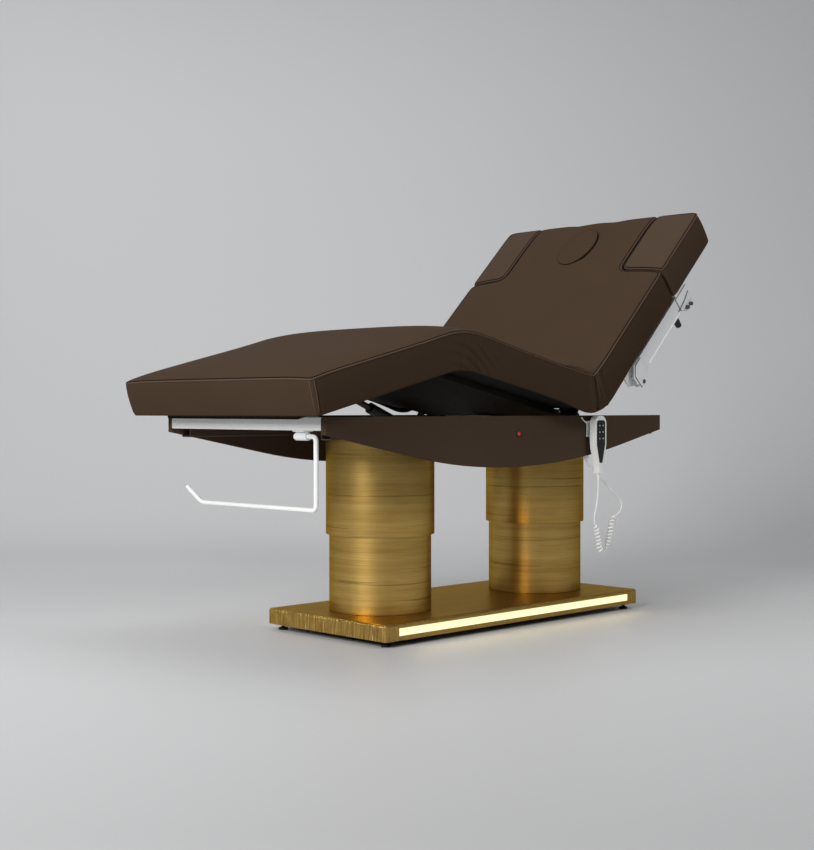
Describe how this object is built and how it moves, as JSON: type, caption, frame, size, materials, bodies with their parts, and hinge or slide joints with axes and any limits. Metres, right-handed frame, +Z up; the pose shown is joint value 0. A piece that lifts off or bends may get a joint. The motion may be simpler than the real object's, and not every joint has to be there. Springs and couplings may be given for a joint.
{
  "type": "massage table",
  "caption": "Electric massage table: lit gold base, telescopic columns, padded top with raised knees and back, arm rests, face hole, hand control and paper-roll rod.",
  "frame": {"origin": "on the floor, below the middle of the table's length and width", "axes": "+X towards the head end, +Z up, +Y to the right of a person who lies on their back; the hand control hangs on the -Y side, called left"},
  "size_m": [1.7471, 0.82, 1.3083],
  "materials": {
    "upholstery": "dark brown upholstery leather, low sheen",
    "panel_leather": "dark brown leather stretched over the side panels",
    "gold_metal": "gold metal with horizontal brush lines",
    "zinc_steel": "plain steel",
    "black_steel": "black powder coat",
    "white_steel": "white powder coat",
    "grey_steel": "light grey powder coat",
    "board": "plywood painted black",
    "black_plastic": "matt black moulding",
    "white_plastic": "white moulding",
    "keypad_film": "glossy black keypad film",
    "red_plastic": "glossy red",
    "lit_plastic": "lit warm white diffuser",
    "cord_plastic": "white flexible cord jacket"
  },
  "bodies": {
    "base": {"base_plate": "gold_metal", "base_tray": "black_steel", "led_strip_left": "lit_plastic", "led_strip_right": "lit_plastic", "column_tube_foot": "gold_metal", "column_tube_head": "gold_metal", "lift_housing_foot": "zinc_steel", "lift_housing_head": "zinc_steel"},
    "column_stages": {"lift_stage_foot": "zinc_steel", "lift_stage_head": "zinc_steel"},
    "lift_frame": {"column_sleeve_foot": "gold_metal", "column_sleeve_head": "gold_metal", "lift_ram_foot": "zinc_steel", "lift_ram_head": "zinc_steel", "frame_rail_left": "black_steel", "frame_rail_right": "black_steel", "cross_member_foot": "black_steel", "cross_member_head": "black_steel", "foot_bar": "white_steel", "side_panel_left": "panel_leather", "side_panel_right": "panel_leather", "seat_pivot_rod": "zinc_steel", "back_pivot_rod": "zinc_steel", "control_box": "black_plastic", "stop_button_bezel": "black_plastic", "handset_hook": "white_steel", "cord_gland": "white_plastic", "hand_cord": "cord_plastic", "crease_fold": "upholstery", "roll_clamp": "white_steel"},
    "back_motor": {"back_motor": "black_plastic"},
    "back_motor_rod": {"back_motor_rod": "zinc_steel"},
    "knee_motor": {"knee_motor": "black_plastic"},
    "knee_motor_rod": {"knee_motor_rod": "zinc_steel"},
    "seat": {"seat_board": "board", "seat_cushion": "upholstery", "knee_fold": "upholstery"},
    "leg": {"leg_board": "board", "leg_cushion": "upholstery"},
    "back": {"back_board": "board", "back_cushion": "upholstery", "arm_quadrant_left": "grey_steel", "arm_quadrant_right": "grey_steel"},
    "arm_left": {"arm_channel_left": "grey_steel", "arm_pad_left": "upholstery"},
    "arm_right": {"arm_channel_right": "grey_steel", "arm_pad_right": "upholstery"},
    "arm_knob_left": {"arm_knob_left": "black_plastic"},
    "arm_knob_right": {"arm_knob_right": "black_plastic"},
    "face_plug": {"face_plug": "upholstery"},
    "stop_button": {"stop_button": "red_plastic"},
    "paper_rod": {"paper_rod": "white_steel"},
    "handset": {"handset_shell": "white_plastic", "handset_keypad": "keypad_film"},
    "handset_key_1": {"handset_key_1": "keypad_film"},
    "handset_key_2": {"handset_key_2": "keypad_film"},
    "handset_key_3": {"handset_key_3": "keypad_film"},
    "handset_key_4": {"handset_key_4": "keypad_film"},
    "handset_key_5": {"handset_key_5": "keypad_film"},
    "handset_key_6": {"handset_key_6": "keypad_film"}
  },
  "joints": [
    {"name": "column_lift", "type": "slide", "parent": "base", "child": "lift_frame", "axis": [0, 0, 1], "range_m": [-0.215, 0.045]},
    {"name": "stage_slide", "type": "slide", "parent": "base", "child": "column_stages", "axis": [0, 0, 1], "range_m": [-0.108, 0.023]},
    {"name": "seat_tilt", "type": "hinge", "parent": "lift_frame", "child": "seat", "pos_m": [0.22265, 0, 0.65335], "axis": [0, 1, 0], "range_deg": [-11.68, 1.5]},
    {"name": "knee_bend", "type": "hinge", "parent": "seat", "child": "leg", "pos_m": [-0.31596, 0, 0.76469], "axis": [0, -1, 0], "range_deg": [-25.7, 3.4], "deforming": ["knee_fold"]},
    {"name": "back_recline", "type": "hinge", "parent": "lift_frame", "child": "back", "pos_m": [0.31145, 0, 0.63885], "axis": [0, -1, 0], "range_deg": [-44.75, 15.25], "deforming": ["crease_fold"]},
    {"name": "back_motor_swing", "type": "hinge", "parent": "lift_frame", "child": "back_motor", "pos_m": [-0.00735, -0.225, 0.575], "axis": [0, -1, 0], "range_deg": [-5, 2]},
    {"name": "back_rod_extend", "type": "slide", "parent": "back_motor", "child": "back_motor_rod", "axis": [0.9996, 0, 0.0285], "range_m": [-0.0495, 0.017]},
    {"name": "knee_motor_swing", "type": "hinge", "parent": "lift_frame", "child": "knee_motor", "pos_m": [0.13765, 0.225, 0.575], "axis": [0, 1, 0], "range_deg": [-14, 2]},
    {"name": "knee_rod_extend", "type": "slide", "parent": "knee_motor", "child": "knee_motor_rod", "axis": [-0.9246, 0, 0.3808], "range_m": [-0.0202, 0.0027]},
    {"name": "arm_swing_left", "type": "hinge", "parent": "back", "child": "arm_left", "pos_m": [0.51876, -0.376, 0.7479], "axis": [0, 1, 0], "range_deg": [0, 35]},
    {"name": "arm_swing_right", "type": "hinge", "parent": "back", "child": "arm_right", "pos_m": [0.51876, 0.376, 0.7479], "axis": [0, 1, 0], "range_deg": [0, 35]},
    {"name": "arm_release_left", "type": "slide", "parent": "arm_left", "child": "arm_knob_left", "axis": [0.704, 0, -0.7102], "range_m": [0, 0.006], "stiffness_N_per_m": 400},
    {"name": "arm_release_right", "type": "slide", "parent": "arm_right", "child": "arm_knob_right", "axis": [0.704, 0, -0.7102], "range_m": [0, 0.006], "stiffness_N_per_m": 400},
    {"name": "face_plug_lift", "type": "slide", "parent": "back", "child": "face_plug", "axis": [-0.704, 0, 0.7102], "range_m": [0, 0.14]},
    {"name": "stop_button_press", "type": "slide", "parent": "lift_frame", "child": "stop_button", "axis": [0, 1, 0], "range_m": [0, 0.003], "stiffness_N_per_m": 400},
    {"name": "paper_rod_swing", "type": "hinge", "parent": "lift_frame", "child": "paper_rod", "pos_m": [-0.74855, -0.205, 0.589], "axis": [0, 1, 0], "range_deg": [-35, 80]},
    {"name": "handset_lift", "type": "slide", "parent": "lift_frame", "child": "handset", "axis": [0, 0, 1], "range_m": [0, 0.018], "deforming": ["hand_cord"]},
    {"name": "key_press_1", "type": "slide", "parent": "handset", "child": "handset_key_1", "axis": [0, 1, 0], "range_m": [0, 0.001], "stiffness_N_per_m": 300},
    {"name": "key_press_2", "type": "slide", "parent": "handset", "child": "handset_key_2", "axis": [0, 1, 0], "range_m": [0, 0.001], "stiffness_N_per_m": 300},
    {"name": "key_press_3", "type": "slide", "parent": "handset", "child": "handset_key_3", "axis": [0, 1, 0], "range_m": [0, 0.001], "stiffness_N_per_m": 300},
    {"name": "key_press_4", "type": "slide", "parent": "handset", "child": "handset_key_4", "axis": [0, 1, 0], "range_m": [0, 0.001], "stiffness_N_per_m": 300},
    {"name": "key_press_5", "type": "slide", "parent": "handset", "child": "handset_key_5", "axis": [0, 1, 0], "range_m": [0, 0.001], "stiffness_N_per_m": 300},
    {"name": "key_press_6", "type": "slide", "parent": "handset", "child": "handset_key_6", "axis": [0, 1, 0], "range_m": [0, 0.001], "stiffness_N_per_m": 300}
  ],
  "couplings": [
    {"joint": "stage_slide", "follows": "column_lift", "ratio": 0.5},
    {"joint": "knee_bend", "follows": "seat_tilt", "ratio": 2.196},
    {"joint": "knee_motor_swing", "follows": "seat_tilt", "ratio": 1.181},
    {"joint": "knee_rod_extend", "follows": "seat_tilt", "m_per_rad": 0.0992},
    {"joint": "back_motor_swing", "follows": "back_recline", "ratio": 0.102},
    {"joint": "back_rod_extend", "follows": "back_recline", "m_per_rad": 0.063}
  ]
}
